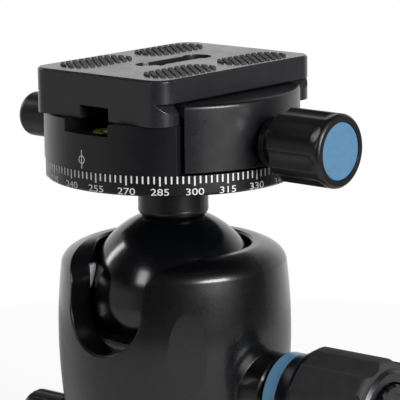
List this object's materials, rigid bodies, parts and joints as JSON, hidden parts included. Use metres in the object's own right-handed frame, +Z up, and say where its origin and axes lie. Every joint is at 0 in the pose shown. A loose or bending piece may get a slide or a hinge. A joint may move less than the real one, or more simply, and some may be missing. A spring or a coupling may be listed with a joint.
{
  "type": "tripod ball head",
  "caption": "Tripod ball head with a panning dovetail clamp, camera plate, drop slot, and side lock knobs.",
  "frame": {"origin": "centre of the mounting face under the base, on the base screw's axis", "axes": "+Z up along the pan axis, +X towards the two large knobs, drop slot towards -Y"},
  "size_m": [0.104, 0.057, 0.0996],
  "materials": {
    "black_anodised": "satin black anodised",
    "black_housing": "fine bead-blasted satin black anodised",
    "ball_black": "polished hard-anodised black",
    "blue_anodised": "satin blue anodised",
    "blue_cap": "brushed blue anodised disc",
    "black_rubber": "matt moulded rubber",
    "plate_black": "satin black anodised plate",
    "rib_rubber": "matt rubber ribs",
    "seat_polymer": "smooth dark acetal",
    "washer_polymer": "PTFE washer",
    "steel": "turned stainless steel",
    "black_steel": "black-oxide steel",
    "brass": "turned brass",
    "level_liquid": "yellow-green level vial"
  },
  "bodies": {
    "base": {"base_plate": "black_anodised", "base_scale_ring": "black_anodised", "base_pan_washer": "washer_polymer", "pan_retainer_disc": "steel", "pan_retainer_screws": "black_steel"},
    "housing": {"housing": "black_housing", "ball_seat_ring": "seat_polymer", "base_pan_lock_pad": "brass"},
    "ball_cup": {"lower_ball_cup": "seat_polymer"},
    "lock_wedge": {"lock_wedge": "steel"},
    "main_lock": {"main_lock_shaft": "steel", "main_lock_knob": "black_anodised", "main_knob_grip": "black_rubber", "blue_collar_ring": "blue_anodised"},
    "friction_dial": {"friction_dial": "black_anodised"},
    "base_pan_lock": {"base_pan_lock_knob": "black_anodised", "base_pan_lock_screw": "steel"},
    "ball": {"ball": "ball_black"},
    "stem": {"stem": "black_anodised", "pan_scale_ring": "black_anodised", "scale_ring_screws": "black_steel", "top_pan_washer": "washer_polymer", "pivot_washer": "steel", "pivot_bolt": "black_steel"},
    "clamp": {"clamp_body": "black_anodised", "level_bezel": "black_anodised", "level_vial": "level_liquid", "jaw_springs": "steel", "top_pan_lock_pad": "brass"},
    "jaw": {"movable_jaw": "black_anodised", "jaw_guide_pins": "steel"},
    "clamp_knob": {"clamp_knob": "black_anodised", "clamp_screw": "steel", "clamp_knob_cap": "blue_cap"},
    "top_pan_lock": {"top_pan_lock_knob": "black_anodised", "top_pan_lock_screw": "steel"},
    "plate": {"quick_release_plate": "plate_black", "plate_grip_ribs": "rib_rubber"},
    "camera_screw": {"camera_screw": "steel"}
  },
  "joints": [
    {"name": "base_pan", "type": "hinge", "parent": "base", "child": "housing", "pos_m": [0, 0, 0], "axis": [0, 0, 1], "continuous": true},
    {"name": "ball_tilt", "type": "hinge", "parent": "housing", "child": "ball", "pos_m": [0, 0, 0.0465], "axis": [0.9992, 0.0401, 0], "range_deg": [-32, 90]},
    {"name": "ball_swivel", "type": "hinge", "parent": "ball", "child": "stem", "pos_m": [0, 0, 0.0465], "axis": [0, 0, 1], "continuous": true},
    {"name": "top_pan", "type": "hinge", "parent": "stem", "child": "clamp", "pos_m": [0, 0, 0.0786], "axis": [0, 0, 1], "continuous": true},
    {"name": "wedge_travel", "type": "slide", "parent": "housing", "child": "lock_wedge", "axis": [0.9992, 0.0401, 0], "range_m": [0, 0.0008]},
    {"name": "main_lock_turn", "type": "hinge", "parent": "lock_wedge", "child": "main_lock", "pos_m": [0.03317, 0.00133, 0.0277], "axis": [0.9992, 0.0401, 0], "range_deg": [0, 240]},
    {"name": "friction_dial_turn", "type": "hinge", "parent": "main_lock", "child": "friction_dial", "pos_m": [0.05645, 0.00227, 0.0277], "axis": [0.9992, 0.0401, 0], "range_deg": [0, 270]},
    {"name": "cup_travel", "type": "slide", "parent": "housing", "child": "ball_cup", "axis": [0, 0, -1], "range_m": [0, 0.000367]},
    {"name": "base_pan_lock_turn", "type": "hinge", "parent": "housing", "child": "base_pan_lock", "pos_m": [-0.03697, -0.00148, 0.01], "axis": [-0.9992, -0.0401, 0], "range_deg": [0, 270]},
    {"name": "top_pan_lock_turn", "type": "hinge", "parent": "clamp", "child": "top_pan_lock", "pos_m": [-0.037, 0, 0.0832], "axis": [-1, 0, 0], "range_deg": [0, 270]},
    {"name": "jaw_slide", "type": "slide", "parent": "clamp", "child": "jaw", "axis": [1, 0, 0], "range_m": [0, 0.004]},
    {"name": "clamp_knob_turn", "type": "hinge", "parent": "jaw", "child": "clamp_knob", "pos_m": [0.038, 0, 0.084], "axis": [1, 0, 0], "range_deg": [0, 1440]},
    {"name": "plate_slide", "type": "slide", "parent": "clamp", "child": "plate", "axis": [0, 1, 0], "range_m": [-0.012, 0.012]},
    {"name": "camera_screw_lift", "type": "slide", "parent": "plate", "child": "camera_screw", "axis": [0, 0, 1], "range_m": [0, 0.005]}
  ],
  "couplings": [
    {"joint": "main_lock_turn", "follows": "wedge_travel", "rad_per_m": 5236},
    {"joint": "cup_travel", "follows": "wedge_travel", "ratio": 0.45875},
    {"joint": "clamp_knob_turn", "follows": "jaw_slide", "rad_per_m": 6283.2}
  ]
}
